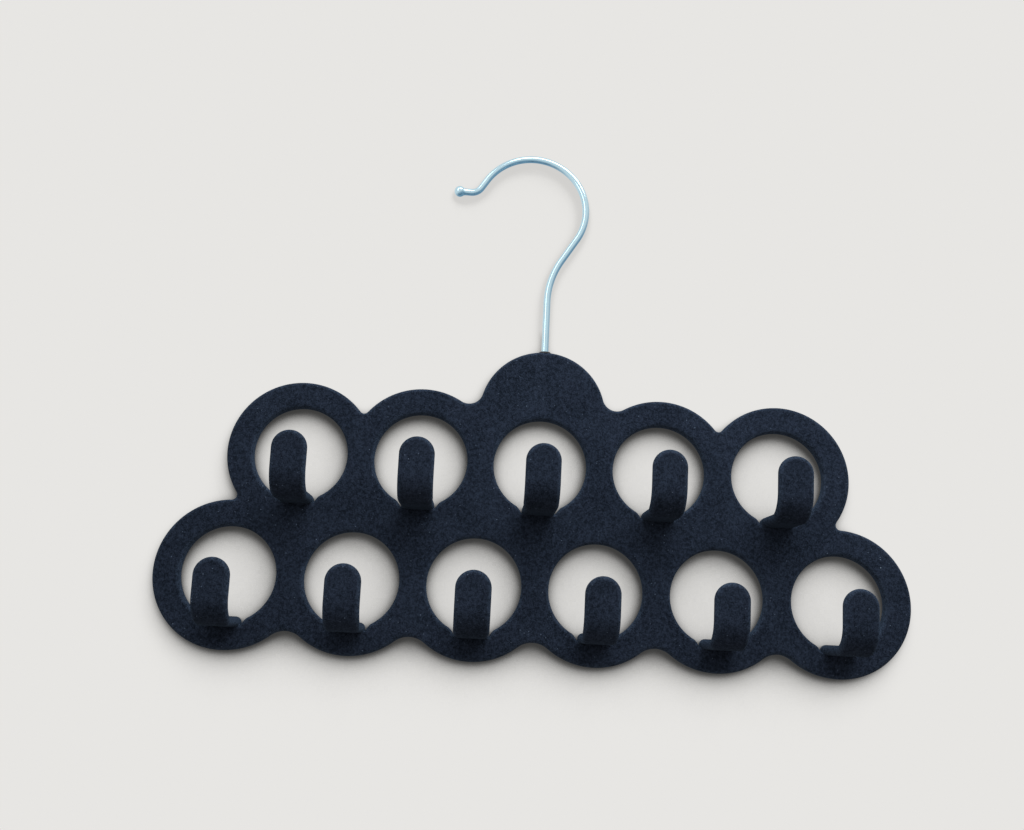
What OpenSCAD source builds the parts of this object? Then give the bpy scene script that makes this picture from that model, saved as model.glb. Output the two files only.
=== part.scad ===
// Scarf hanger: a flocked rack of eleven rings, each with a peg, on a swivelling wire hook.
// The front of the rack faces -Y, +X is to its right and +Z is up.
// The origin is the saddle, the inside top of the hook's curve, where a rail carries it.

/* [Hook] */
// Diameter of the hook's wire
wire_d = 3; // [2.4:0.1:3.2]
// Radius of the wire's centre line where it goes round the rail
hook_r = 24; // [20:1:28]
// Turn of the wire round the rail, in degrees
hook_turn = 179.5; // [150:0.5:185]
// Radius of the long bend above the stem
shank_bend_r = 36; // [24:1:48]
// Turn of the long bend above the stem, in degrees
shank_turn = 32; // [20:0.5:40]
// Length of the straight shank between the long bend and the curve
shank_length = 12; // [6:1:20]
// Length of the straight stem that shows above the dome
stem_length = 23; // [16:1:40]
// Length of the straight run from the curve to the tip's bend
lead_length = 4.5; // [1:0.5:8]
// Radius of the bend that turns the tip outwards
tip_bend_r = 5; // [3:0.5:12]
// Turn of the tip's bend, in degrees
tip_turn = 59.5; // [30:0.5:80]
// Length of the straight run from the tip's bend to the middle of the ball
tip_length = 5; // [3:0.2:8]
// Diameter of the ball on the tip
ball_d = 4.8; // [4:0.2:6]
// Length of the cone that joins the wire to the ball
ball_neck = 2.6; // [1.6:0.2:3]
// How much thinner the wire is where it has been bent
bend_thinning = 0.03; // [0.02:0.01:0.08]

/* [Swivel] */
// Outer diameter of the bush that the wire turns in
bush_d = 4.1; // [3.8:0.1:4.6]
// Length of the bush below its rim
bush_length = 16; // [8:1:22]
// Diameter of the bush's rim
rim_d = 5; // [4.8:0.1:5.2]
// Thickness of the bush's rim
rim_t = 0.8; // [0.5:0.1:1.5]
// How deep the rim is let into the top of the dome
rim_seat = 0.4; // [0.2:0.1:0.8]
// Radial clearance of the wire in the bush, and of its head in the bore
running_gap = 0.05; // [0.02:0.01:0.1]
// Length of the upset head on the wire's lower end
head_length = 2; // [1:0.2:3]
// Free space below the head at the bottom of the bore
head_play = 0.6; // [0.3:0.1:1.5]

/* [Rack] */
// Thickness of the rack
plate_t = 5.5; // [5.2:0.1:7]
// Distance between neighbouring rings of a row
ring_pitch = 50; // [46:1:56]
// Height of the upper row above the lower row
row_rise = 50.8; // [46:0.2:54]
// Diameter of the hole in each ring
ring_bore_d = 39; // [34:0.5:42]
// Width of the band round each hole
ring_band = 10.8; // [9:0.2:13]
// Radius of the dome that holds the hook
dome_r = 26.5; // [23:0.5:30]
// Height of the dome's centre above the upper row
dome_rise = 22.6; // [18:0.1:28]
// Fillet radius in the narrow valleys between outer rings
valley_r = 2; // [0.5:0.1:4]
// Fillet radius where the dome meets the rings beside it
dome_valley_r = 6; // [3:0.5:9]
// Fillet radius in the scallops along the bottom
scallop_r = 10; // [5:0.5:16]

/* [Pegs] */
// Width of a peg's upright
peg_w = 14.1; // [13.7:0.1:16]
// Thickness of a peg
peg_t = 4; // [3:0.1:5]
// Reach of a peg's tip in front of the rack's face
peg_reach = 27.5; // [22:0.5:34]
// Height of a peg's tip above the middle of its ring
peg_rise = 5.2; // [0:0.1:10]
// Depth of a peg's underside below the middle of its ring
peg_drop = 20.8; // [20.5:0.1:23.5]
// Inside radius of the bend between a peg's arm and its upright
peg_bend_r = 8; // [3:0.5:10]
// Forward lean of a peg's upright, in degrees
peg_lean = 3; // [0:0.5:12]
// Width of a peg's arm where it leaves the ring
arm_w = 13.6; // [9:0.1:14]
// Distance over which the arm widens to the upright
arm_flare = 4; // [2:0.5:8]
// Width of the notch beside a peg's arm
notch_w = 2; // [0.8:0.1:3]
// Height of the seat wall between a notch and the arm's underside
notch_floor = 0.6; // [0.4:0.1:3]

/* [Hidden] */
$fn = 96;
upper_rings = 5;
lower_rings = 6;
// The dome stands above this ring of the upper row
middle_ring = (upper_rings + 1) / 2;
// Cutters reach this far past the faces that they open
over = 1;
// Straight runs of wire reach this far into the bends at their ends
lap = 0.2;
// Size of the ball's neck as a share of the wire at its thin end and of the ball at its thick end
neck_start = 0.9;
neck_end = 0.9;

flock_colour = [0.09, 0.10, 0.15];
wire_colour = [0.80, 0.84, 0.88];
bush_colour = [0.13, 0.13, 0.14];

bend_wire_d = wire_d - bend_thinning;
// The curve's centre, seen from the point where the long bend starts
curve_x = shank_bend_r * (1 - cos(shank_turn)) + shank_length * sin(shank_turn) - hook_r * cos(shank_turn);
curve_z = shank_bend_r * sin(shank_turn) + shank_length * cos(shank_turn) + hook_r * sin(shank_turn);
// The stem's axis and the heights along it, seen from the saddle
stem_x = -curve_x;
bend_z = -(curve_z + hook_r - bend_wire_d / 2);
dome_top_z = bend_z - stem_length;

rim_floor_z = dome_top_z - rim_seat;
bush_end_z = rim_floor_z - bush_length;
head_end_z = bush_end_z - head_length;
bore_end_z = head_end_z - head_play;
bush_hole_d = wire_d + 2 * running_gap;
head_d = bush_d - 2 * running_gap;

ring_r = ring_bore_d / 2 + ring_band;
dome_z = dome_top_z - dome_r;
upper_z = dome_z - dome_rise;
lower_z = upper_z - row_rise;
dome_centre = [stem_x, dome_z];

peg_front = plate_t / 2 + peg_reach;
peg_outer_r = peg_bend_r + peg_t;
peg_bend_v = peg_bend_r + peg_t - peg_drop;
// Length of the upright's front face from the bend to the height of the tip
upright_length = (peg_rise - peg_bend_v + peg_outer_r * sin(peg_lean)) / cos(peg_lean);
peg_bend_u = peg_front - peg_outer_r * cos(peg_lean) - upright_length * sin(peg_lean);

// Middle of ring i of a row, counted from 1 at the left, as [x, z]
function ring_centre(i, count, z) = [stem_x + (i - (count + 1) / 2) * ring_pitch, z];
function upper(i) = ring_centre(i, upper_rings, upper_z);
function lower(i) = ring_centre(i, lower_rings, lower_z);

ring_centres = concat(
    [for (i = [1:upper_rings]) upper(i)],
    [for (i = [1:lower_rings]) lower(i)]
);

// Centre of the circle of radius r that touches circles a and b from outside, to the left of a line from a to b
function fillet_centre(a, a_r, b, b_r, r) =
    let (
        span = norm(b - a),
        along = (span * span + pow(a_r + r, 2) - pow(b_r + r, 2)) / (2 * span),
        aside = sqrt(pow(a_r + r, 2) - along * along),
        run = (b - a) / span
    )
    a + along * run + aside * [-run[1], run[0]];

// Fills the valley between circles a and b up to a concave arc of radius r
module valley(a, a_r, b, b_r, r) {
    f = fillet_centre(a, a_r, b, b_r, r);
    difference() {
        polygon([a, b, f]);
        translate(f) circle(r = r);
    }
}

// The seat of a peg's arm and the two notches beside it, as seen from the front
module peg_seat() {
    notch_x = arm_w / 2 + notch_w;
    notch_z = -sqrt(pow(ring_bore_d / 2, 2) - notch_x * notch_x);
    translate([-arm_w / 2, -peg_drop]) square([arm_w, peg_drop]);
    polygon([
        [-arm_w / 2, notch_floor - peg_drop],
        [arm_w / 2, notch_floor - peg_drop],
        [notch_x, notch_z],
        [-notch_x, notch_z],
    ]);
}

module rack_outline() {
    difference() {
        union() {
            for (c = ring_centres) translate(c) circle(r = ring_r);
            translate(dome_centre) circle(r = dome_r);
            polygon([lower(1), lower(lower_rings), upper(upper_rings), dome_centre, upper(1)]);
            for (i = [1, upper_rings - 1]) valley(upper(i), ring_r, upper(i + 1), ring_r, valley_r);
            valley(lower(1), ring_r, upper(1), ring_r, valley_r);
            valley(upper(upper_rings), ring_r, lower(lower_rings), ring_r, valley_r);
            valley(upper(middle_ring - 1), ring_r, dome_centre, dome_r, dome_valley_r);
            valley(dome_centre, dome_r, upper(middle_ring + 1), ring_r, dome_valley_r);
            for (i = [2:lower_rings]) valley(lower(i), ring_r, lower(i - 1), ring_r, scallop_r);
        }
        for (c = ring_centres) translate(c) {
            circle(d = ring_bore_d);
            peg_seat();
        }
    }
}

module rack_plate() {
    color(flock_colour) difference() {
        rotate([90, 0, 0]) linear_extrude(height = plate_t, center = true) rack_outline();
        translate([stem_x, 0, bore_end_z]) cylinder(d = bush_d, h = dome_top_z + over - bore_end_z);
        translate([stem_x, 0, rim_floor_z]) cylinder(d = rim_d, h = rim_seat + over);
    }
}

// Side view of a peg: distance in front of the rack's middle across, height above the ring's middle up
module peg_profile() {
    far = 2 * peg_outer_r;
    translate([-plate_t / 2, -peg_drop]) square([plate_t / 2 + peg_bend_u, peg_t]);
    translate([peg_bend_u, peg_bend_v]) {
        difference() {
            circle(r = peg_outer_r);
            circle(r = peg_bend_r);
            translate([-far, -far]) square([far, 2 * far]);
            rotate(-peg_lean) translate([-far, 0]) square([2 * far, far]);
        }
        rotate(-peg_lean) translate([peg_bend_r, 0]) square([peg_t, upright_length + peg_t]);
    }
}

// Front view of a peg, with its round tip
module peg_front_view() {
    tip_z = peg_rise - peg_w / 2;
    translate([0, tip_z]) circle(d = peg_w);
    translate([-peg_w / 2, -peg_drop]) square([peg_w, peg_drop + tip_z]);
}

// Top view of a peg: a narrow arm that flares to the upright
module peg_plan() {
    back = plate_t / 2;
    front = -peg_front - over;
    flare_end = -peg_bend_u - arm_flare;
    polygon([
        [-arm_w / 2, back], [arm_w / 2, back],
        [arm_w / 2, -peg_bend_u], [peg_w / 2, flare_end],
        [peg_w / 2, front], [-peg_w / 2, front],
        [-peg_w / 2, flare_end], [-arm_w / 2, -peg_bend_u],
    ]);
}

module peg(centre) {
    depth = peg_front + plate_t / 2 + 2 * over;
    height = peg_drop + peg_rise + 2 * over;
    color(flock_colour) translate([centre[0], 0, centre[1]]) intersection() {
        rotate([90, 0, -90]) linear_extrude(height = peg_w, center = true) peg_profile();
        translate([0, plate_t / 2 + over, 0]) rotate([90, 0, 0]) linear_extrude(height = depth) peg_front_view();
        translate([0, 0, -peg_drop - over]) linear_extrude(height = height) peg_plan();
    }
}

module swivel_bush() {
    color(bush_colour) translate([stem_x, 0, 0]) difference() {
        union() {
            translate([0, 0, bush_end_z]) cylinder(d = bush_d, h = bush_length + rim_t / 2);
            translate([0, 0, rim_floor_z]) cylinder(d = rim_d, h = rim_t);
        }
        translate([0, 0, bush_end_z - over]) cylinder(d = bush_hole_d, h = bush_length + rim_t + 2 * over);
    }
}

// A straight run of wire along +Z; what follows it starts at its end
module run(length, start = lap) {
    translate([0, 0, -start]) cylinder(d = wire_d, h = length + start + lap);
    translate([0, 0, length]) children();
}

// A bend of wire that starts along +Z and turns to the right, or to the left where side is -1
module bend(r, turn, side) {
    translate([side * r, 0, 0]) {
        rotate([90, 0, 0]) rotate([0, 0, side > 0 ? 180 - turn : 0])
            rotate_extrude(angle = turn) translate([r, 0]) circle(d = bend_wire_d);
        rotate([0, side * turn, 0]) translate([-side * r, 0, 0]) children();
    }
}

module ball_tip() {
    sphere(d = ball_d);
    translate([0, 0, -ball_neck]) cylinder(d1 = wire_d * neck_start, d2 = ball_d * neck_end, h = ball_neck);
}

module hook_wire() {
    color(wire_colour) translate([stem_x, 0, head_end_z]) {
        cylinder(d = head_d, h = head_length);
        run(bend_z - head_end_z, 0)
            bend(shank_bend_r, shank_turn, 1)
                run(shank_length)
                    bend(hook_r, hook_turn, -1)
                        run(lead_length)
                            bend(tip_bend_r, tip_turn, 1)
                                run(tip_length)
                                    ball_tip();
    }
}

rack_plate();
for (i = [1:upper_rings])
    peg(upper(i));
for (i = [1:lower_rings])
    peg(lower(i));
swivel_bush();
hook_wire();
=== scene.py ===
"""Dresses the scarf hanger: a flocked rack of eleven rings with pegs, on a chromed hook that swivels.

All lengths are in metres. The rack's front faces -Y, +X is to its right and +Z is up. The origin is the
saddle, the inside top of the hook's curve.
"""

from __future__ import annotations

import logging
import math
from dataclasses import dataclass, field
from enum import Enum
from typing import Mapping, Optional, Sequence, Union

import bmesh
import bpy
from mathutils import Euler, Matrix, Vector

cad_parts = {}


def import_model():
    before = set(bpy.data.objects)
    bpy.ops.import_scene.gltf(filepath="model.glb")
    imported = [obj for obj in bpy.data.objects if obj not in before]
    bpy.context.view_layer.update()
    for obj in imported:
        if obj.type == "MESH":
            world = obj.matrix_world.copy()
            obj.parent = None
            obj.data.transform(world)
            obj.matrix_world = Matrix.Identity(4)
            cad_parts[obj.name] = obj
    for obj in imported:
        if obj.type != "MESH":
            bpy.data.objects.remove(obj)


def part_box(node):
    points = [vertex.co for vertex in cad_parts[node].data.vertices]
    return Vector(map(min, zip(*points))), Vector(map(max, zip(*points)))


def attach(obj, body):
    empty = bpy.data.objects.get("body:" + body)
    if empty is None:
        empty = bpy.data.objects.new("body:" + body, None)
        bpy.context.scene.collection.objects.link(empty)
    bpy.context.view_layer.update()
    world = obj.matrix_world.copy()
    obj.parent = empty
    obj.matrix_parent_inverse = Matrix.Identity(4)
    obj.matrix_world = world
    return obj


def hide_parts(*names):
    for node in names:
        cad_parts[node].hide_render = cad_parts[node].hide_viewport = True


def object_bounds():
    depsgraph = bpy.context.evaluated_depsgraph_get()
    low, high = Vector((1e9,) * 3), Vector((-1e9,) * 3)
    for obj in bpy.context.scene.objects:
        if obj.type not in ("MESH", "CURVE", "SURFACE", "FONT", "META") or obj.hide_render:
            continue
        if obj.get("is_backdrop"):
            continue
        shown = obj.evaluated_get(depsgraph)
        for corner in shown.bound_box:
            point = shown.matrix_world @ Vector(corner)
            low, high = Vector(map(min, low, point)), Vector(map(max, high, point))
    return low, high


LOG = logging.getLogger("scarf_hanger")
MM = 0.001
# Points nearer to each other than this are one
WELD = 0.001 * MM
# Attribute on flocked pieces that masks the painted edge highlight: 1 at an edge, fading over its rounding
# to 0 on the flats
RIM_ATTRIBUTE = "rim"
# UV map on the wire: half turns round it across, its own diameters along
WIRE_MAP = "wire"

Number = Union[float, "Signal"]
Colour = tuple[float, float, float, float]
Span = tuple[float, float]


class Slot(Enum):
    """The record's material slots."""

    FLOCK = "flocked_plastic"
    WIRE = "chrome_wire"
    BUSH = "bush_plastic"


class Body(Enum):
    """The two bodies that the swivel joins."""

    HOOK = "hook"
    RACK = "rack"


class Row(Enum):
    """The rows of rings, with the number of rings in each."""

    UPPER = 5
    LOWER = 6


@dataclass(frozen=True)
class Signal:
    """A socket that carries a number, so that shader maths is written as an expression."""

    graph: "Graph"
    socket: bpy.types.NodeSocket

    def __add__(self, other: Number) -> "Signal":
        """Adds two values."""
        return self.graph.maths("ADD", self, other)

    def __mul__(self, other: Number) -> "Signal":
        """Multiplies two values."""
        return self.graph.maths("MULTIPLY", self, other)

    def __pow__(self, other: Number) -> "Signal":
        """Raises to a power."""
        return self.graph.maths("POWER", self, other)

    def at_most(self, other: Number) -> "Signal":
        """Takes the lesser of two values."""
        return self.graph.maths("MINIMUM", self, other)

    def at_least(self, other: Number) -> "Signal":
        """Takes the greater of two values."""
        return self.graph.maths("MAXIMUM", self, other)

    def between(self, low: float, high: float) -> "Signal":
        """Rises smoothly from 0 at low to 1 at high, or falls where low is the greater.

        Args:
            low: the value at which the result is 0.
            high: the value at which the result is 1.

        Returns:
            The eased value, from 0 to 1.
        """
        ranged = self.graph.node(
            "ShaderNodeMapRange",
            {"interpolation_type": "SMOOTHSTEP"},
            {"Value": self, "From Min": low, "From Max": high},
        )
        return Signal(self.graph, ranged.outputs["Result"])

    def onto(self, low: float, high: float) -> "Signal":
        """Stretches a value that runs from 0 to 1 onto another span."""
        return self * (high - low) + low


@dataclass(frozen=True)
class Grain:
    """A noise: the size of its features, its finer layers and how strong they are."""

    size: float
    detail: float = 2.0
    rough: float = 0.5


@dataclass(frozen=True)
class Specks:
    """A scatter of soft dots, at most one to a cell."""

    cell: float
    # Share of the cells that holds a dot, and the part of those whose dots show in full
    share: float
    # A dot's radius as a share of the cell's width
    size: float
    in_full: float = 0.6
    core: float = 0.3


class Graph:
    """A node tree that is filled by short calls."""

    def __init__(self, tree: bpy.types.NodeTree) -> None:
        """Empties the tree."""
        self.tree = tree
        self.tree.nodes.clear()

    def node(
        self,
        kind: str,
        settings: Optional[Mapping[str, object]] = None,
        sockets: Optional[Mapping[Union[str, int], object]] = None,
    ) -> bpy.types.Node:
        """Adds a node.

        Args:
            kind: the node's type.
            settings: its properties, which are set first.
            sockets: values or links for its inputs, by name or number.

        Returns:
            The new node.
        """
        made = self.tree.nodes.new(kind)
        for name, value in (settings or {}).items():
            setattr(made, name, value)
        for name, value in (sockets or {}).items():
            source = value.socket if isinstance(value, Signal) else value
            if isinstance(source, bpy.types.NodeSocket):
                self.tree.links.new(source, made.inputs[name])
            else:
                made.inputs[name].default_value = source
        return made

    def maths(self, operation: str, first: Number, second: Number) -> Signal:
        """Works out one sum of two values.

        Args:
            operation: the Math node's operation.
            first: a socket or a number.
            second: a socket or a number.

        Returns:
            The result.
        """
        made = self.node("ShaderNodeMath", {"operation": operation}, {0: first, 1: second})
        return Signal(self, made.outputs[0])

    def blend(self, share: Number, first: object, second: object) -> bpy.types.NodeSocket:
        """Mixes two colours.

        Args:
            share: how much of the second colour shows, from 0 to 1.
            first: a colour or a colour socket.
            second: a colour or a colour socket.

        Returns:
            The mixed colour's socket.
        """
        made = self.node("ShaderNodeMix", {"data_type": "RGBA"}, {0: share, 6: first, 7: second})
        return made.outputs[2]

    def place(self) -> bpy.types.NodeSocket:
        """Gives the coordinates of the piece's own object, in metres."""
        return self.node("ShaderNodeTexCoord").outputs["Object"]

    def stretched(self, where: bpy.types.NodeSocket, scale: Sequence[float]) -> bpy.types.NodeSocket:
        """Scales coordinates along each axis."""
        return self.node("ShaderNodeMapping", None, {"Vector": where, "Scale": scale}).outputs[0]

    def noise(self, where: bpy.types.NodeSocket, grain: Grain) -> Signal:
        """Adds a noise.

        Args:
            where: the coordinates.
            grain: the noise's features, with their size in the coordinates' units.

        Returns:
            A value round a half.
        """
        made = self.node(
            "ShaderNodeTexNoise",
            None,
            {"Vector": where, "Scale": 1 / grain.size, "Detail": grain.detail, "Roughness": grain.rough},
        )
        return Signal(self, made.outputs["Fac"])

    def scatter(self, where: bpy.types.NodeSocket, specks: Specks) -> Signal:
        """Scatters soft dots.

        Args:
            where: the coordinates.
            specks: the dots.

        Returns:
            A mask that is 1 in the middle of a dot.
        """
        made = self.node("ShaderNodeTexVoronoi", None, {"Vector": where, "Scale": 1 / specks.cell})
        chance = self.node("ShaderNodeSeparateColor", None, {0: made.outputs["Color"]})
        chosen = Signal(self, chance.outputs[0]).between(1 - specks.share, 1 - specks.share * specks.in_full)
        near = Signal(self, made.outputs["Distance"]).between(specks.size, specks.size * specks.core)
        return near * chosen

    def height(self, where: bpy.types.NodeSocket) -> Signal:
        """Gives the height of a place or the upward part of a direction."""
        return Signal(self, self.node("ShaderNodeSeparateXYZ", None, {0: where}).outputs["Z"])

    def bump(self, height: Signal, distance: float, strength: float) -> bpy.types.NodeSocket:
        """Turns a height into a normal.

        Args:
            height: the height, in units of the distance.
            distance: the depth of the relief in metres.
            strength: how much of the relief shows.

        Returns:
            The normal's socket.
        """
        made = self.node(
            "ShaderNodeBump", None, {"Height": height, "Distance": distance, "Strength": strength}
        )
        return made.outputs["Normal"]

    def end(self, shader: str, sockets: Mapping[Union[str, int], object], output: str = "Material") -> None:
        """Adds the last shader and joins it to the tree's output.

        Args:
            shader: the shader's node type.
            sockets: values or links for its inputs.
            output: the kind of output, Material or World.
        """
        made = self.node(shader, None, sockets)
        self.node("ShaderNodeOutput" + output, None, {"Surface": made.outputs[0]})


def new_material(name: str) -> tuple[bpy.types.Material, Graph]:
    """Adds an empty material.

    Args:
        name: the material's name.

    Returns:
        The material and its graph.
    """
    material = bpy.data.materials.new(name)
    material.use_nodes = True
    return material, Graph(material.node_tree)


@dataclass(frozen=True)
class FlockFinish:
    """Short electrostatic flock in a near-black navy, with flecks of lint caught in the nap, and a painted
    highlight along its rounded edges.
    """

    ground: Colour = (0.0063, 0.0093, 0.0154, 1.0)
    raised: Colour = (0.0232, 0.0330, 0.0550, 1.0)
    # Colour of the painted highlight along the rounded edges
    rubbed_and_edge_lit: Colour = (0.0480, 0.0720, 0.1150, 1.0)
    fluff_colour: Colour = (0.095, 0.130, 0.190, 1.0)
    lint_colour: Colour = (0.20, 0.27, 0.34, 1.0)
    sheen: Colour = (0.42, 0.66, 1.0, 1.0)
    sheen_weight: float = 0.05
    sheen_spread: float = 0.4
    fibres: Grain = Grain(0.5 * MM, 1.0)
    clumps: Grain = Grain(1.5 * MM, 3.0, 0.6)
    clouds: Grain = Grain(16 * MM)
    cloud_span: Span = (0.35, 0.65)
    nap_span: Span = (0.34, 0.68)
    # Share of the clouds in the nap's colour, and their least share of the dust
    cloud_share: float = 0.15
    dust_floor: float = 0.5
    # How the painted edge highlight falls off from an edge, and how much of it the nap and the whole edge
    # show
    rim_falloff: float = 1.5
    rim_nap: float = 0.5
    rim_highlight_base: float = 0.15
    fluff: Specks = Specks(1.7 * MM, 0.26, 0.17)
    threads: Specks = Specks(2.9 * MM, 0.12, 0.07)
    thread_stretch: tuple[float, float, float] = (1.0, 1.0, 0.3)
    lint: Specks = Specks(8 * MM, 0.16, 0.05)
    # Heights of the fibres, the clumps and the fluff, where the lint's is 1
    relief: tuple[float, float, float] = (0.6, 0.7, 0.3)
    nap_depth: float = 0.16 * MM
    nap_strength: float = 0.9
    roughness: Span = (0.86, 0.94)

    def material(self) -> bpy.types.Material:
        """Builds the flock's material.

        Returns:
            The material.
        """
        material, graph = new_material("navy_flock")
        where = graph.place()
        fibres = graph.noise(where, self.fibres)
        clumps = graph.noise(where, self.clumps)
        clouds = graph.noise(where, self.clouds).between(*self.cloud_span)
        edge = graph.node("ShaderNodeAttribute", {"attribute_name": RIM_ATTRIBUTE})
        rim = Signal(graph, edge.outputs["Fac"])
        nap = (fibres * 0.5 + clumps * 0.5).between(*self.nap_span)
        fluff = graph.scatter(where, self.fluff)
        threads = graph.scatter(graph.stretched(where, self.thread_stretch), self.threads)
        lint = graph.scatter(where, self.lint)
        dusty = clouds.onto(self.dust_floor, 1.0)
        lifted = nap * (1 - self.cloud_share) + clouds * self.cloud_share
        colour = graph.blend(lifted, self.ground, self.raised)
        # Painted highlight on the rounded edges, stronger where the nap is raised
        edge_highlight = rim**self.rim_falloff * (nap * self.rim_nap + self.rim_highlight_base)
        colour = graph.blend(edge_highlight, colour, self.rubbed_and_edge_lit)
        colour = graph.blend((fluff + threads).at_most(1.0) * dusty, colour, self.fluff_colour)
        colour = graph.blend(lint * dusty, colour, self.lint_colour)
        fibre_h, clump_h, fluff_h = self.relief
        relief = fibres * fibre_h + clumps * clump_h + fluff * fluff_h + lint
        graph.end(
            "ShaderNodeBsdfPrincipled",
            {
                "Base Color": colour,
                "Roughness": clouds.onto(*self.roughness),
                "Specular IOR Level": 0.0,
                "Sheen Weight": self.sheen_weight,
                "Sheen Roughness": self.sheen_spread,
                "Sheen Tint": self.sheen,
                "Normal": graph.bump(relief, self.nap_depth, self.nap_strength),
            },
        )
        return material


@dataclass(frozen=True)
class ChromeFinish:
    """Bright chrome over drawn steel wire, with faint drawing lines and a little haze."""

    # The plate's cyan tint is a painted reflection of a blue sky; the haze colour carries the same tint
    plate: Colour = (0.60, 0.83, 0.95, 1.0)
    haze: Colour = (0.50, 0.70, 0.82, 1.0)
    clouds: Grain = Grain(9 * MM, 3.0, 0.6)
    cloud_span: Span = (0.45, 0.75)
    haze_share: float = 0.35
    # The drawing lines: their noise, its stretch along the wire, and their depth
    lines: Grain = Grain(1.0, 2.0, 0.6)
    line_stretch: tuple[float, float, float] = (70.0, 2.0, 1.0)
    line_depth: float = 0.004 * MM
    line_strength: float = 0.5
    # Roughness of the bare plate, and what the haze and the lines add to it
    polish: float = 0.10
    haze_rough: float = 0.06
    line_rough: float = 0.03

    def material(self) -> bpy.types.Material:
        """Builds the chrome's material.

        Returns:
            The material.
        """
        material, graph = new_material("bright_chrome")
        along = graph.node("ShaderNodeUVMap", {"uv_map": WIRE_MAP}).outputs[0]
        lines = graph.noise(graph.stretched(along, self.line_stretch), self.lines)
        haze = graph.noise(graph.place(), self.clouds).between(*self.cloud_span)
        graph.end(
            "ShaderNodeBsdfPrincipled",
            {
                "Base Color": graph.blend(haze * self.haze_share, self.plate, self.haze),
                "Metallic": 1.0,
                "Roughness": haze * self.haze_rough + lines * self.line_rough + self.polish,
                "Normal": graph.bump(lines, self.line_depth, self.line_strength),
            },
        )
        return material


@dataclass(frozen=True)
class BushFinish:
    """Black moulded plastic with a satin skin."""

    skin: Colour = (0.010, 0.010, 0.012, 1.0)
    # Colour of the rubbed patches of wear
    rubbed_and_edge_lit: Colour = (0.034, 0.035, 0.040, 1.0)
    grain: Grain = Grain(0.25 * MM)
    grain_depth: float = 0.02 * MM
    grain_strength: float = 0.7
    wear: Grain = Grain(1.1 * MM, 3.0, 0.6)
    wear_span: Span = (0.5, 0.75)
    roughness: Span = (0.42, 0.57)

    def material(self) -> bpy.types.Material:
        """Builds the bush's material.

        Returns:
            The material.
        """
        material, graph = new_material("black_bush")
        where = graph.place()
        grain = graph.noise(where, self.grain)
        wear = graph.noise(where, self.wear).between(*self.wear_span)
        graph.end(
            "ShaderNodeBsdfPrincipled",
            {
                "Base Color": graph.blend(wear, self.skin, self.rubbed_and_edge_lit),
                "Roughness": wear.onto(*self.roughness),
                "Normal": graph.bump(grain, self.grain_depth, self.grain_strength),
            },
        )
        return material


class Outline:
    """A closed flat outline, drawn by moving its last point."""

    def __init__(self, bm: bmesh.types.BMesh, start: Vector, chord: float) -> None:
        """Places the first point.

        Args:
            bm: the mesh to draw in, at height 0.
            start: the first point.
            chord: about how long each piece of an arc is.
        """
        self.bm = bm
        self.chord = chord
        self.first = bm.verts.new(start.to_3d())
        self.last = self.first

    def line(self, to: Vector) -> "Outline":
        """Draws a straight line.

        Args:
            to: the point that it ends at.

        Returns:
            The outline itself.
        """
        grown = bmesh.ops.extrude_vert_indiv(self.bm, verts=[self.last])
        self.last = grown["verts"][0]
        self.last.co = to.to_3d()
        return self

    def arc(self, centre: Vector, turn: float) -> None:
        """Draws an arc.

        Args:
            centre: the arc's centre.
            turn: its angle in radians, anticlockwise where positive.
        """
        radius = (self.last.co.to_2d() - centre).length
        grown = bmesh.ops.spin(
            self.bm,
            geom=[self.last],
            cent=centre.to_3d(),
            axis=(0, 0, 1),
            angle=turn,
            steps=max(2, round(abs(turn) * radius / self.chord)),
            use_merge=False,
        )
        self.last = next(g for g in grown["geom_last"] if isinstance(g, bmesh.types.BMVert))

    def close(self) -> None:
        """Joins the last point to the first, which it has come back to."""
        bmesh.ops.pointmerge(self.bm, verts=[self.first, self.last], merge_co=self.first.co)


def round_corners(
    bm: bmesh.types.BMesh, corners: Sequence[bmesh.types.BMVert], cut: float, segments: int
) -> None:
    """Rounds corners of a flat outline.

    Args:
        bm: the outline's mesh.
        corners: the corners' points.
        cut: how far from the corner the rounding starts.
        segments: the number of pieces in each rounding.
    """
    bmesh.ops.bevel(
        bm, geom=corners, offset=cut, affect="VERTICES", segments=segments, profile=0.5, material=-1
    )


def turn_between(start: Vector, end: Vector, clockwise: bool) -> float:
    """Finds the angle from one direction to another.

    Args:
        start: the first direction.
        end: the second direction.
        clockwise: the way to turn.

    Returns:
        The angle in radians, negative where it is clockwise.
    """
    turn = math.atan2(start.x * end.y - start.y * end.x, start.dot(end)) % math.tau
    return turn - math.tau if clockwise else turn


def closed_loops(bm: bmesh.types.BMesh) -> list[list[bmesh.types.BMVert]]:
    """Follows each closed outline of loose edges.

    Args:
        bm: a mesh of loose edges alone.

    Returns:
        The points of each outline in order, so that the material is to the left of the way they run.
    """
    loops = []
    left = set(bm.verts)
    while left:
        loop = [left.pop()]
        while True:
            onward = [e.other_vert(loop[-1]) for e in loop[-1].link_edges]
            following = next((v for v in onward if v in left), None)
            if following is None:
                break
            left.remove(following)
            loop.append(following)
        loops.append(loop)
    areas = [signed_area(loop) for loop in loops]
    largest = max(abs(a) for a in areas)
    return [loop if (area > 0) == (abs(area) == largest) else loop[::-1] for loop, area in zip(loops, areas)]


def signed_area(loop: Sequence[bmesh.types.BMVert]) -> float:
    """Finds the area inside an outline, which is positive where it runs anticlockwise."""
    pairs = zip(loop, list(loop[1:]) + [loop[0]])
    return sum(a.co.x * b.co.y - b.co.x * a.co.y for a, b in pairs) / 2


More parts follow.
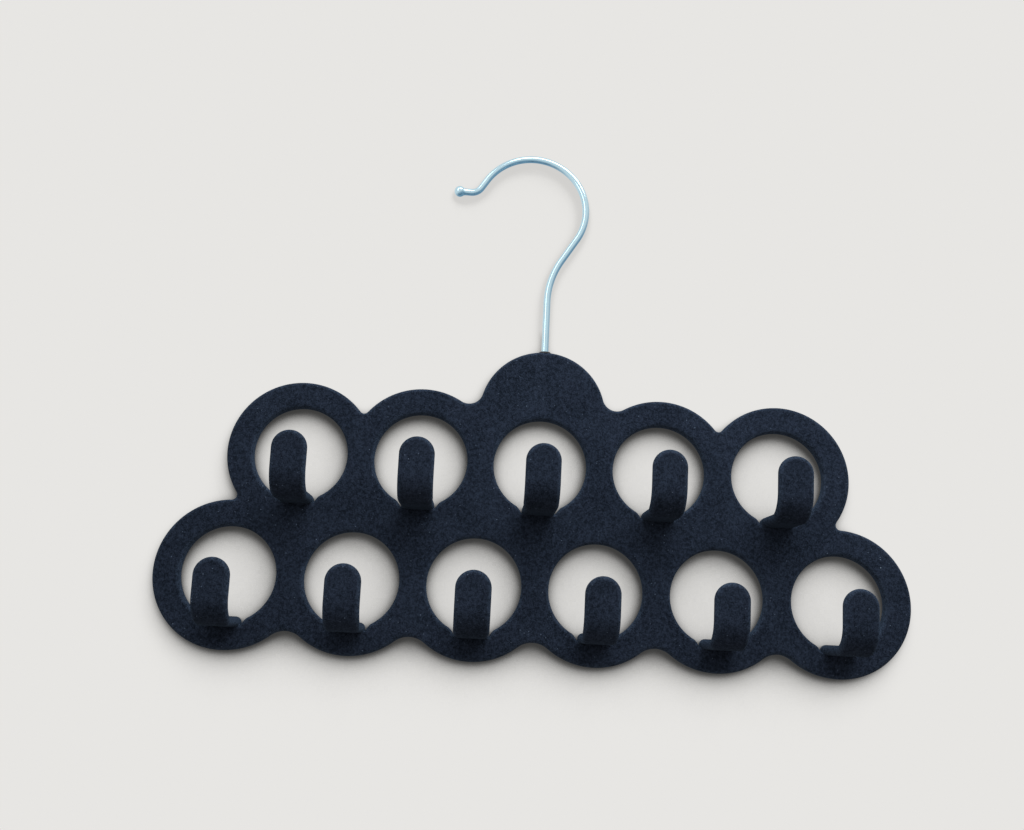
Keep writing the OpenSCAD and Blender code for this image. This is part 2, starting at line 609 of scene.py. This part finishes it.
def inward_ways(loop: Sequence[bmesh.types.BMVert]) -> list[Vector]:
    """Finds which way each point of an outline moves when the outline shrinks into the material.

    Args:
        loop: the points in order, with the material to their left.

    Returns:
        For each point, its move when all sides of the outline move in by 1.
    """
    ways = []
    for number, vert in enumerate(loop):
        before = (vert.co - loop[number - 1].co).normalized()
        after = (loop[(number + 1) % len(loop)].co - vert.co).normalized()
        first, second = Vector((-before.y, before.x, 0)), Vector((-after.y, after.x, 0))
        ways.append((first + second) / (1 + first.dot(second)))
    return ways


@dataclass(frozen=True)
class EdgeRounding:
    """How the edges of a slab are rounded."""

    radius: float
    segments: int = 5
    # Width of the last band of faces, on the flat inside the rounding
    margin: float = 0.2 * MM
    # How slowly the painted edge highlight fades over the rounding
    highlight_falloff: float = 0.7

    def rows(self, thickness: float) -> list[tuple[float, float, float]]:
        """Lists the rows of points from the slab's middle height to its flat top.

        Args:
            thickness: the slab's thickness.

        Returns:
            For each row its inset, its height and the strength of the painted edge highlight there.
        """
        wall = thickness / 2 - self.radius
        rows = [(0.0, wall, 1.0)]
        for number in range(1, self.segments + 1):
            angle = math.pi / 2 * number / self.segments
            inset = self.radius * (1 - math.cos(angle))
            rows.append((inset, wall + self.radius * math.sin(angle), math.cos(angle) ** self.highlight_falloff))
        rows.append((self.radius + self.margin, thickness / 2, 0.0))
        return rows


def rounded_slab(bm: bmesh.types.BMesh, thickness: float, rounding: EdgeRounding) -> None:
    """Makes the flat outlines in a mesh into a slab with rounded edges, and marks the mask of the painted
    edge highlight.

    Args:
        bm: closed outlines at height 0, an outer one and any holes.
        thickness: the slab's thickness, half of it above height 0.
        rounding: the rounding of its edges.
    """
    # The rim layer masks the painted edge highlight: 1 at the edge, fading over the rounding
    rim = bm.verts.layers.float.new(RIM_ATTRIBUTE)
    loops = closed_loops(bm)
    ways = {v: way for loop in loops for v, way in zip(loop, inward_ways(loop))}
    starts = {v: v.co.copy() for v in ways}
    origin = {v: v for v in ways}
    edges = bm.edges[:]
    for vert in ways:
        vert[rim] = 1.0
    for inset, height, turned in rounding.rows(thickness):
        grown = bmesh.ops.extrude_edge_only(bm, edges=edges)["geom"]
        verts = {g for g in grown if isinstance(g, bmesh.types.BMVert)}
        edges = [g for g in grown if isinstance(g, bmesh.types.BMEdge) and verts.issuperset(g.verts)]
        for vert in verts:
            below = next(v for e in vert.link_edges for v in e.verts if v in origin and v not in verts)
            origin[vert] = origin[below]
            vert.co = starts[origin[vert]] + ways[origin[vert]] * inset + Vector((0, 0, height))
            vert[rim] = turned
    bmesh.ops.triangle_fill(bm, use_beauty=True, edges=edges, normal=(0, 0, 1))
    bmesh.ops.mirror(bm, geom=bm.verts[:] + bm.edges[:] + bm.faces[:], axis="Z", merge_dist=WELD)
    bmesh.ops.remove_doubles(bm, verts=bm.verts[:], dist=WELD)
    bmesh.ops.recalc_face_normals(bm, faces=bm.faces[:])


def new_object(name: str, data: bpy.types.ID) -> bpy.types.Object:
    """Adds an object to the scene.

    Args:
        name: its name.
        data: its mesh, camera or light.

    Returns:
        The object, at the origin.
    """
    made = bpy.data.objects.new(name, data)
    bpy.context.scene.collection.objects.link(made)
    return made


def finish_piece(
    bm: bmesh.types.BMesh,
    name: str,
    body: Body,
    material: bpy.types.Material,
    nodes: Sequence[str],
) -> None:
    """Makes a mesh a shown piece that stands for CAD nodes.

    Args:
        bm: the finished mesh in the frame's place, which is freed.
        name: the piece's name.
        body: the body that it moves with.
        material: its material.
        nodes: the CAD nodes that it stands for.
    """
    mesh = bpy.data.meshes.new(name)
    for face in bm.faces:
        face.smooth = True
    bm.to_mesh(mesh)
    bm.free()
    mesh.materials.append(material)
    piece = new_object(name, mesh)
    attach(piece, body.value)
    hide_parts(*nodes)
    LOG.info("%s: %d faces, rides on %s", name, len(mesh.polygons), body.value)


def stand_up(bm: bmesh.types.BMesh, place: Vector) -> None:
    """Turns a flat mesh upright, so that its top faces the front, and moves it.

    Args:
        bm: the mesh, drawn in X and Y with its thickness along Z.
        place: where its own origin goes.
    """
    upright = Matrix.Translation(place) @ Matrix.Rotation(math.pi / 2, 4, "X")
    bmesh.ops.transform(bm, matrix=upright, verts=bm.verts[:])


@dataclass(frozen=True)
class Round:
    """One round of the rack's outer outline, and the fillet between it and the next round."""

    centre: Vector
    radius: float
    fillet: float

    def fillet_centre(self, following: "Round") -> Vector:
        """Finds the centre of the fillet's circle, to the left of the way to the next round.

        Args:
            following: the next round.

        Returns:
            The centre of the circle that touches both rounds from outside.
        """
        across = following.centre - self.centre
        span = across.length
        reach, far_reach = self.radius + self.fillet, following.radius + self.fillet
        along = (span**2 + reach**2 - far_reach**2) / (2 * span)
        aside = math.sqrt(reach**2 - along**2)
        way = across / span
        return self.centre + way * along + Vector((-way.y, way.x)) * aside


@dataclass
class Rack:
    """The flocked moulding: rings in two rows, with a dome for the hook and a seat for each peg."""

    ring_bore_r: float = 19.5 * MM
    peg_rise: float = 5.2 * MM
    dome_r: float = 26.5 * MM
    dome_rise: float = 22.6 * MM
    valley_r: float = 2 * MM
    dome_valley_r: float = 6 * MM
    scallop_r: float = 10 * MM
    seat_w: float = 13.7 * MM
    seat_top: float = -16.8 * MM
    shoulder_r: float = 2.4 * MM
    notch_w: float = 1.95 * MM
    notch_bottom: float = -20.2 * MM
    notch_cut: float = 0.6 * MM
    mouth_cut: float = 0.8 * MM
    corner_segments: int = 5
    edge_radius: float = 1.5 * MM
    chord: float = 1.0 * MM
    middle: float = field(init=False)
    thickness: float = field(init=False)
    pitch: float = field(init=False)
    ring_r: float = field(init=False)
    row_z: dict[Row, float] = field(init=False)

    def __post_init__(self) -> None:
        """Reads the pitch, the rows' heights and the plate's size from the frame."""
        low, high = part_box("rack_plate")
        first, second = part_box("peg_lower_1"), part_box("peg_lower_2")
        self.middle = (low.x + high.x) / 2
        self.thickness = high.y - low.y
        self.pitch = second[0].x - first[0].x
        self.ring_r = (high.x - low.x - (Row.LOWER.value - 1) * self.pitch) / 2
        self.row_z = {
            Row.UPPER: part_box("peg_upper_1")[1].z - self.peg_rise,
            Row.LOWER: first[1].z - self.peg_rise,
        }

    def centre(self, row: Row, number: int) -> Vector:
        """Finds the middle of a ring.

        Args:
            row: the ring's row.
            number: its number in the row, from 1 at the left.

        Returns:
            Its X and Z in the frame.
        """
        across = (number - (row.value + 1) / 2) * self.pitch
        return Vector((self.middle + across, self.row_z[row]))

    def rounds(self) -> list[Round]:
        """Lists the rounds of the outer outline.

        Returns:
            The rings at the border and the dome, clockwise as seen from the front.
        """
        dome = self.centre(Row.UPPER, 3) + Vector((0, self.dome_rise))
        ring = self.ring_r
        climb = [
            Round(self.centre(Row.LOWER, 1), ring, self.valley_r),
            Round(self.centre(Row.UPPER, 1), ring, self.valley_r),
            Round(self.centre(Row.UPPER, 2), ring, self.dome_valley_r),
            Round(dome, self.dome_r, self.dome_valley_r),
            Round(self.centre(Row.UPPER, 4), ring, self.valley_r),
            Round(self.centre(Row.UPPER, 5), ring, self.valley_r),
        ]
        numbers = range(Row.LOWER.value, 1, -1)
        return climb + [Round(self.centre(Row.LOWER, n), ring, self.scallop_r) for n in numbers]

    def draw_outer(self, bm: bmesh.types.BMesh) -> None:
        """Draws the outer outline: an arc round each ring and the dome, and a fillet between them.

        Args:
            bm: the mesh to draw in.
        """
        rounds = self.rounds()
        pairs = zip(rounds, rounds[1:] + rounds[:1])
        fillets = [here.fillet_centre(following) for here, following in pairs]
        first = rounds[0]
        start = first.centre + (fillets[-1] - first.centre).normalized() * first.radius
        outline = Outline(bm, start, self.chord)
        for number, here in enumerate(rounds):
            following = rounds[(number + 1) % len(rounds)]
            before, after = fillets[number - 1], fillets[number]
            outline.arc(here.centre, turn_between(before - here.centre, after - here.centre, True))
            outline.arc(after, turn_between(here.centre - after, following.centre - after, False))
        outline.close()

    def draw_ring_hole(self, bm: bmesh.types.BMesh, centre: Vector) -> None:
        """Draws a ring's hole with the peg's seat at its foot and a notch on each side of the seat.

        Args:
            bm: the mesh to draw in.
            centre: the middle of the ring.
        """
        half = self.seat_w / 2
        mouth_x = half + self.notch_w
        mouth = Vector((mouth_x, -math.sqrt(self.ring_bore_r**2 - mouth_x**2)))
        far_mouth = Vector((-mouth_x, mouth.y))
        outline = Outline(bm, centre + mouth, self.chord)
        outline.arc(centre, turn_between(mouth, far_mouth, False))
        mouths = [outline.first, outline.last]
        corners = []
        left_side = ((-half, self.notch_bottom), (-half, self.seat_top))
        right_side = ((half, self.seat_top), (half, self.notch_bottom))
        for corner in left_side + right_side:
            corners.append(outline.line(centre + Vector(corner)).last)
        outline.line(centre + mouth).close()
        # Notches, shoulders and mouths
        cuts = ((corners[::3], self.notch_cut), (corners[1:3], self.shoulder_r), (mouths, self.mouth_cut))
        for chosen, cut in cuts:
            round_corners(bm, chosen, cut, self.corner_segments)

    def build(self, flock: bpy.types.Material) -> None:
        """Builds the plate.

        Args:
            flock: its material.
        """
        bm = bmesh.new()
        self.draw_outer(bm)
        for row in Row:
            for number in range(1, row.value + 1):
                self.draw_ring_hole(bm, self.centre(row, number))
        rounded_slab(bm, self.thickness, EdgeRounding(self.edge_radius))
        stand_up(bm, Vector())
        finish_piece(bm, "flocked_rack", Body.RACK, flock, ["rack_plate"])


@dataclass
class Peg:
    """A peg: a flat strap that leaves its seat, bends up and ends in a round tip."""

    width: float = 14.1 * MM
    arm_w: float = 13.6 * MM
    thickness: float = 4 * MM
    # Radius of the bend, at half the strap's thickness
    bend_r: float = 10 * MM
    lean: float = math.radians(3)
    # Length over which the arm widens to the strap
    flare: float = 4 * MM
    # From the ring's middle down to the arm's underside
    drop: float = 20.8 * MM
    # How deep the root lies in the plate, and how much lower the strap is, to keep faces out of one plane
    root_depth: float = 2.2 * MM
    sink: float = 0.05 * MM
    edge_radius: float = 1.8 * MM
    chord: float = 0.7 * MM

    def build(self, node: str, rack: Rack, centre: Vector, flock: bpy.types.Material) -> None:
        """Builds one peg.

        Args:
            node: the CAD node that it stands for.
            rack: the rack that it grows from.
            centre: the middle of its ring.
            flock: its material.
        """
        low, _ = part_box(node)
        root_y = self.root_depth - rack.thickness / 2
        reach = root_y - low.y
        turn = math.pi / 2 - self.lean
        outer = self.bend_r + self.thickness / 2
        rise = self.drop + rack.peg_rise - self.sink
        upright = (rise - self.thickness / 2 - self.bend_r * (1 - math.cos(turn))) / math.sin(turn)
        arm = reach - outer * math.sin(turn) - upright * math.cos(turn)
        length = arm + self.bend_r * turn + upright
        bm = bmesh.new()
        self.draw(bm, arm, length)
        rounded_slab(bm, self.thickness, EdgeRounding(self.edge_radius))
        self.cut_rows(bm, length)
        self.bend(bm, arm, turn)
        place = Vector((centre.x, root_y, centre.y - self.drop + self.thickness / 2 - self.sink))
        bmesh.ops.translate(bm, verts=bm.verts[:], vec=place)
        finish_piece(bm, "flocked_" + node, Body.RACK, flock, [node])

    def draw(self, bm: bmesh.types.BMesh, arm: float, length: float) -> None:
        """Draws the flat strap's outline, with its root at Y 0 and its tip at Y length.

        Args:
            bm: the mesh to draw in.
            arm: the distance from the root to the bend.
            length: the strap's whole length.
        """
        root, half = self.arm_w / 2, self.width / 2
        outline = Outline(bm, Vector((root, 0)), self.chord)
        outline.line(Vector((root, arm))).line(Vector((half, arm + self.flare)))
        outline.line(Vector((half, length - half)))
        outline.arc(Vector((0, length - half)), math.pi)
        outline.line(Vector((-half, arm + self.flare))).line(Vector((-root, arm)))
        outline.line(Vector((-root, 0))).line(Vector((root, 0)))
        outline.close()

    def cut_rows(self, bm: bmesh.types.BMesh, length: float) -> None:
        """Cuts the flat strap across at even steps, so that it bends in a smooth curve.

        Args:
            bm: the strap.
            length: its whole length.
        """
        for number in range(1, math.floor(length / self.chord)):
            geom = bm.verts[:] + bm.edges[:] + bm.faces[:]
            bmesh.ops.bisect_plane(bm, geom=geom, plane_co=(0, number * self.chord, 0), plane_no=(0, 1, 0))

    def bend(self, bm: bmesh.types.BMesh, arm: float, turn: float) -> None:
        """Bends the flat strap up from its arm.

        Args:
            bm: the strap, with its length along Y.
            arm: the distance from the root to the bend.
            turn: the bend's angle.
        """
        for vert in bm.verts:
            along, above = vert.co.y, vert.co.z
            angle = min(max((along - arm) / self.bend_r, 0), turn)
            past = max(along - arm - self.bend_r * turn, 0)
            forward = min(along, arm) + (self.bend_r - above) * math.sin(angle) + past * math.cos(turn)
            up = self.bend_r - (self.bend_r - above) * math.cos(angle) + past * math.sin(turn)
            vert.co = (vert.co.x, -forward, up)


class WireGrower:
    """Grows a wire ring by ring from a circle of points."""

    def __init__(self, bm: bmesh.types.BMesh, place: Vector, sides: int) -> None:
        """Remembers where the wire starts.

        Args:
            bm: the mesh to grow in.
            place: the middle of the wire's lower end.
            sides: the number of points round the wire.
        """
        self.bm = bm
        self.map = bm.loops.layers.uv.new(WIRE_MAP)
        self.centre = place.copy()
        self.ahead = Vector((0, 0, 1))
        self.radius = 0.0
        self.sides = sides
        self.length = 0.0
        self.rows: dict[bmesh.types.BMVert, Span] = {}
        self.edges: list[bmesh.types.BMEdge] = []

    def note(self, verts: Sequence[bmesh.types.BMVert]) -> None:
        """Remembers how far round and along the wire each new point is.

        Args:
            verts: the new points, in a ring round the wire's present end.
        """
        side = self.ahead.cross(Vector((0, 1, 0))).normalized()
        for vert in verts:
            out = vert.co - self.centre
            turn = math.atan2(out.y, out.dot(side)) / math.tau
            self.rows[vert] = (abs(turn) * 2, self.length)

    def start(self, radius: float) -> None:
        """Closes the wire's lower end with a flat disc.

        Args:
            radius: the disc's radius.
        """
        middle = Matrix.Translation(self.centre)
        made = bmesh.ops.create_circle(
            self.bm, cap_ends=True, cap_tris=False, segments=self.sides, radius=radius, matrix=middle
        )
        self.radius = radius
        self.note(made["verts"])
        self.edges = [e for e in self.bm.edges if e.is_boundary]

    def band(self) -> list[bmesh.types.BMVert]:
        """Grows a band of faces of no length from the last ring.

        Returns:
            The points of its new ring, which are still in the last ring's place.
        """
        grown = bmesh.ops.extrude_edge_only(self.bm, edges=self.edges)["geom"]
        verts = [g for g in grown if isinstance(g, bmesh.types.BMVert)]
        new = set(verts)
        self.edges = [g for g in grown if isinstance(g, bmesh.types.BMEdge) and set(g.verts) <= new]
        return verts

    def step(self, forward: float, radius: float) -> None:
        """Grows one straight band.

        Args:
            forward: how far ahead the new ring is.
            radius: the new ring's radius.
        """
        verts = self.band()
        share = radius / self.radius
        for vert in verts:
            vert.co = self.centre + (vert.co - self.centre) * share + self.ahead * forward
        self.centre += self.ahead * forward
        self.radius = radius
        self.length += forward
        self.note(verts)

    def straight(self, length: float, chord: float) -> None:
        """Grows a straight run in even bands.

        Args:
            length: the run's length.
            chord: about how long each band is.
        """
        count = max(1, round(length / chord))
        for _ in range(count):
            self.step(length / count, self.radius)

    def bend(self, radius: float, turn: float, chord: float) -> None:
        """Grows a bend.

        Args:
            radius: the radius of its centre line.
            turn: its angle in radians, to the right where positive.
            chord: about how long each band is.
        """
        right = self.ahead.cross(Vector((0, -1, 0)))
        pivot = self.centre + right * math.copysign(radius, turn)
        count = max(2, round(abs(turn) * radius / chord))
        turned = Matrix.Rotation(turn / count, 3, (0, 1, 0))
        for _ in range(count):
            verts = self.band()
            bmesh.ops.rotate(self.bm, verts=verts, cent=pivot, matrix=turned)
            self.centre = pivot + turned @ (self.centre - pivot)
            self.ahead = turned @ self.ahead
            self.length += abs(turn) * radius / count
            self.note(verts)

    def finish(self, forward: float) -> None:
        """Closes the end with a fan of faces to a point.

        Args:
            forward: how far ahead the point is.
        """
        pole = self.bm.verts.new(self.centre + self.ahead * forward)
        for edge in self.edges:
            self.bm.faces.new((*edge.verts, pole))
        self.length += forward
        self.rows[pole] = (0.5, self.length)

    def unwrap(self, unit: float) -> None:
        """Writes the UV map: half turns round the wire across, and its length along.

        Args:
            unit: the length that the map counts as 1.
        """
        for face in self.bm.faces:
            for loop in face.loops:
                turn, along = self.rows[loop.vert]
                loop[self.map].uv = (turn, along / unit)


@dataclass
class HookWire:
    """The chromed wire: head, stem, long bend, shank, curve round the rail, tip and ball."""

    wire_r: float = 1.5 * MM
    head_r: float = 2.0 * MM
    head_length: float = 2.0 * MM
    head_round: float = 0.3 * MM
    head_lip: float = 0.01 * MM
    shank_bend_r: float = 36 * MM
    shank_turn: float = math.radians(32)
    shank_length: float = 12 * MM
    hook_r: float = 24 * MM
    hook_turn: float = math.radians(179.5)
    stem_length: float = 23 * MM
    lead_length: float = 4.5 * MM
    tip_bend_r: float = 5 * MM
    tip_turn: float = math.radians(59.5)
    tip_length: float = 5 * MM
    ball_r: float = 2.4 * MM
    ball_neck: float = 2.6 * MM
    # The neck's radius where it meets the ball, as a share of the wire's
    neck_swell: float = 1.12
    ball_bands: int = 14
    sides: int = 40
    chord: float = 0.8 * MM
    stem_chord: float = 4.8 * MM
    shank_chord: float = 3.2 * MM
    lead_chord: float = 1.6 * MM

    def build(self, stem_x: float, dome_top: float, chrome: bpy.types.Material) -> None:
        """Builds the wire from its head upwards.

        Args:
            stem_x: X of the stem's axis.
            dome_top: height of the dome's top.
            chrome: its material.
        """
        low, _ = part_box("hook_wire")
        bm = bmesh.new()
        wire = WireGrower(bm, Vector((stem_x, 0, low.z)), self.sides)
        self.grow_head(wire)
        wire.straight(dome_top + self.stem_length - low.z - self.head_length, self.stem_chord)
        wire.bend(self.shank_bend_r, self.shank_turn, self.chord)
        wire.straight(self.shank_length, self.shank_chord)
        wire.bend(self.hook_r, -self.hook_turn, self.chord)
        wire.straight(self.lead_length, self.lead_chord)
        wire.bend(self.tip_bend_r, self.tip_turn, self.chord)
        wire.straight(self.tip_length - self.ball_neck, self.chord)
        self.grow_ball(wire)
        bmesh.ops.recalc_face_normals(bm, faces=bm.faces[:])
        wire.unwrap(2 * self.wire_r)
        finish_piece(bm, "chrome_hook", Body.HOOK, chrome, ["hook_wire"])

    def grow_head(self, wire: WireGrower) -> None:
        """Grows the upset head, with rounded corners.

        Args:
            wire: the wire before its start.
        """
        wire.start(self.head_r - self.head_round)
        wire.step(self.head_round, self.head_r)
        wire.step(self.head_length - 2 * self.head_round, self.head_r)
        wire.step(self.head_round, self.head_r - self.head_round)
        wire.step(self.head_lip, self.wire_r)

    def grow_ball(self, wire: WireGrower) -> None:
        """Swells the wire into its ball and closes the ball's end.

        Args:
            wire: the wire, grown up to its neck.
        """
        touch = math.asin(self.wire_r * self.neck_swell / self.ball_r)
        wire.step(self.ball_neck - self.ball_r * math.cos(touch), self.ball_r * math.sin(touch))
        band = (math.pi - touch) / self.ball_bands
        angles = [touch + band * n for n in range(self.ball_bands)]
        for low, high in zip(angles, angles[1:]):
            wire.step(self.ball_r * (math.cos(low) - math.cos(high)), self.ball_r * math.sin(high))
        wire.finish(self.ball_r * (1 + math.cos(angles[-1])))


@dataclass
class Bush:
    """The bush that the wire turns in, whose rim shows as a collar on the dome."""

    wall_r: float = 1.55 * MM
    tube_r: float = 2.05 * MM
    rim_r: float = 2.5 * MM
    rim_t: float = 0.8 * MM
    corner_r: float = 0.18 * MM
    corner_segments: int = 4
    sides: int = 64

    def build(self, stem_x: float, plastic: bpy.types.Material) -> None:
        """Builds the bush by turning its half section about the stem.

        Args:
            stem_x: X of the stem's axis.
            plastic: its material.
        """
        low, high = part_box("swivel_bush")
        seat = high.z - self.rim_t
        bm = bmesh.new()
        section = Outline(bm, Vector((self.wall_r, low.z)), self.corner_r)
        section.line(Vector((self.tube_r, low.z))).line(Vector((self.tube_r, seat)))
        corners = []
        for x, z in ((self.rim_r, seat), (self.rim_r, high.z), (self.wall_r, high.z)):
            corners.append(section.line(Vector((x, z))).last)
        section.line(Vector((self.wall_r, low.z))).close()
        round_corners(bm, corners, self.corner_r, self.corner_segments)
        stand_up(bm, Vector())
        bmesh.ops.spin(
            bm,
            geom=bm.verts[:] + bm.edges[:],
            cent=(0, 0, 0),
            axis=(0, 0, 1),
            angle=math.tau,
            steps=self.sides,
            use_merge=True,
        )
        bmesh.ops.remove_doubles(bm, verts=bm.verts[:], dist=WELD)
        bmesh.ops.recalc_face_normals(bm, faces=bm.faces[:])
        bmesh.ops.translate(bm, verts=bm.verts[:], vec=(stem_x, 0, 0))
        finish_piece(bm, "bush_collar", Body.RACK, plastic, ["swivel_bush"])


@dataclass(frozen=True)
class PhotoCamera:
    """The camera that took the photograph, as fitted to the outlines of the rings."""

    place: tuple[float, float, float] = (-0.014359, -0.435763, -0.204566)
    turn_deg: tuple[float, float, float] = (101.611, -2.718, -1.885)
    lens: float = 36.914
    sensor: float = 36.0
    nearest: float = 0.01

    def build(self) -> None:
        """Adds the camera and makes it the scene's."""
        data = bpy.data.cameras.new("photo_camera")
        data.lens = self.lens
        data.sensor_width = self.sensor
        data.clip_start = self.nearest
        camera = new_object("photo_camera", data)
        camera.location = self.place
        camera.rotation_euler = Euler([math.radians(a) for a in self.turn_deg], "XYZ")
        bpy.context.scene.camera = camera


@dataclass(frozen=True)
class Lamp:
    """A soft rectangular light that faces the middle of the hanger."""

    name: str
    # X and Z from the hanger's middle, and Y in the frame
    across: float
    front: float
    above: float
    width: float
    height: float
    watts: float
    mirrored: bool = True

    def build(self, middle: Vector) -> None:
        """Adds the light.

        Args:
            middle: the middle of the hanger.
        """
        data = bpy.data.lights.new(self.name, "AREA")
        data.shape = "RECTANGLE"
        data.energy = self.watts
        data.size = self.width
        data.size_y = self.height
        lamp = new_object(self.name, data)
        lamp.location = (middle.x + self.across, self.front, middle.z + self.above)
        lamp.rotation_euler = (middle - lamp.location).to_track_quat("-Z", "Y").to_euler()
        lamp.visible_glossy = self.mirrored


@dataclass(frozen=True)
class Studio:
    """Plain soft light from above, and a pale ground that the hanger lies against and shades."""

    # Y of the rack's back, and the height of the dome's top
    back_y: float
    dome_top: float
    lamps: tuple[Lamp, ...] = (
        Lamp("window", 0.14, -0.25, 0.28, 0.45, 0.40, 1.62, mirrored=False),
        Lamp("pane", 0.18, -0.45, 0.60, 0.60, 0.24, 1.8),
        Lamp("strip", -0.55, -0.68, 0.45, 0.20, 1.0, 1.3),
    )
    ground: Colour = (0.80, 0.79, 0.77, 1.0)
    overhead: Colour = (0.62, 0.62, 0.62, 1.0)
    underneath: Colour = (0.38, 0.33, 0.29, 1.0)
    sky_span: Span = (-0.8, 0.9)
    # What chrome mirrors: the pale ground towards one side, and a dusk away from it
    mirrored_dusk: Colour = (0.20, 0.30, 0.38, 1.0)
    mirrored_side: tuple[float, float, float] = (-0.50, -0.30, 0.81)
    mirrored_span: Span = (-0.75, 0.25)
    floor_gap: float = 0.25 * MM
    floor_size: float = 4.0
    # The ground's shade: how far it reaches, the way to the light, and the span of open sky that it uses
    shade_reach: float = 0.05
    shade_light: tuple[float, float, float] = (0.18, -0.80, 0.57)
    shade_span: Span = (0.36, 0.89)
    shade_samples: int = 32
    deepest: float = 0.06
    # Above the dome the thin wire shades little, from this height on
    wire_shade: float = 0.80
    wire_fade: float = 12 * MM

    def world(self) -> None:
        """Lights the scene mostly from above, in front of the pale ground."""
        world = bpy.data.worlds.new("studio")
        bpy.context.scene.world = world
        world.use_nodes = True
        graph = Graph(world.node_tree)
        path = graph.node("ShaderNodeLightPath")
        seen = Signal(graph, path.outputs["Is Camera Ray"])
        seen = seen.at_least(Signal(graph, path.outputs["Is Transmission Ray"]))
        mirrored = Signal(graph, path.outputs["Is Glossy Ray"])
        way = graph.node("ShaderNodeTexCoord").outputs["Generated"]
        side = graph.node(
            "ShaderNodeVectorMath", {"operation": "DOT_PRODUCT"}, {0: way, 1: self.mirrored_side}
        )
        towards = Signal(graph, side.outputs["Value"])
        sky = graph.blend(graph.height(way).between(*self.sky_span), self.underneath, self.overhead)
        mirror = graph.blend(towards.between(*self.mirrored_span), self.mirrored_dusk, self.ground)
        colour = graph.blend(seen, graph.blend(mirrored, sky, mirror), self.ground)
        graph.end("ShaderNodeBackground", {"Color": colour}, "World")

    def shade_sheet(self) -> None:
        """Adds the clear sheet behind the rack that takes its soft shade and turns with it."""
        bm = bmesh.new()
        bmesh.ops.create_grid(bm, x_segments=2, y_segments=2, size=self.floor_size / 2)
        stand_up(bm, Vector((0, self.back_y + self.floor_gap, 0)))
        mesh = bpy.data.meshes.new("shade_sheet")
        bm.to_mesh(mesh)
        bm.free()
        sheet = new_object("shade_sheet", mesh)
        for rays in ("diffuse", "glossy", "transmission", "shadow"):
            setattr(sheet, "visible_" + rays, False)
        mesh.materials.append(self.shade_material())
        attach(sheet, Body.RACK.value)
        sheet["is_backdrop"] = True

    def shade_material(self) -> bpy.types.Material:
        """Builds the sheet's material: clear, and darker where the hanger keeps the light away.

        Returns:
            The material.
        """
        material, graph = new_material("soft_shade")
        tilt = graph.node(
            "ShaderNodeVectorTransform",
            {"vector_type": "NORMAL", "convert_from": "OBJECT", "convert_to": "WORLD"},
            {0: self.shade_light},
        ).outputs[0]
        sky = graph.node(
            "ShaderNodeAmbientOcclusion",
            {"samples": self.shade_samples},
            {"Distance": self.shade_reach, "Normal": tilt},
        )
        spot = graph.node("ShaderNodeNewGeometry")
        behind = Signal(graph, spot.outputs["Backfacing"])
        lit = Signal(graph, sky.outputs["AO"]).between(*self.shade_span).onto(self.deepest, 1.0)
        height = graph.height(spot.outputs["Position"])
        above = height.between(self.dome_top, self.dome_top + self.wire_fade)
        clear = lit.at_least(above * self.wire_shade).at_least(behind)
        graph.end("ShaderNodeBsdfTransparent", {"Color": clear})
        return material

    def build(self, middle: Vector) -> None:
        """Sets up the whole stage.

        Args:
            middle: the middle of the hanger.
        """
        self.world()
        for lamp in self.lamps:
            lamp.build(middle)
        self.shade_sheet()


def main() -> None:
    """Builds the camera, the stage and every piece of the hanger."""
    logging.basicConfig(level=logging.INFO, format="%(name)s: %(message)s")
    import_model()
    cad_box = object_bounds()
    bpy.context.scene.view_settings.view_transform = "Standard"
    PhotoCamera().build()

    flock = FlockFinish().material()
    chrome = ChromeFinish().material()
    plastic = BushFinish().material()

    rack = Rack()
    rack.build(flock)
    peg = Peg()
    for row in Row:
        for number in range(1, row.value + 1):
            peg.build(f"peg_{row.name.lower()}_{number}", rack, rack.centre(row, number), flock)
    dome_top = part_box("rack_plate")[1].z
    HookWire().build(rack.middle, dome_top, chrome)
    Bush().build(rack.middle, plastic)

    middle = (cad_box[0] + cad_box[1]) / 2
    Studio(rack.thickness / 2, dome_top).build(middle)


if __name__ == "__main__":
    main()
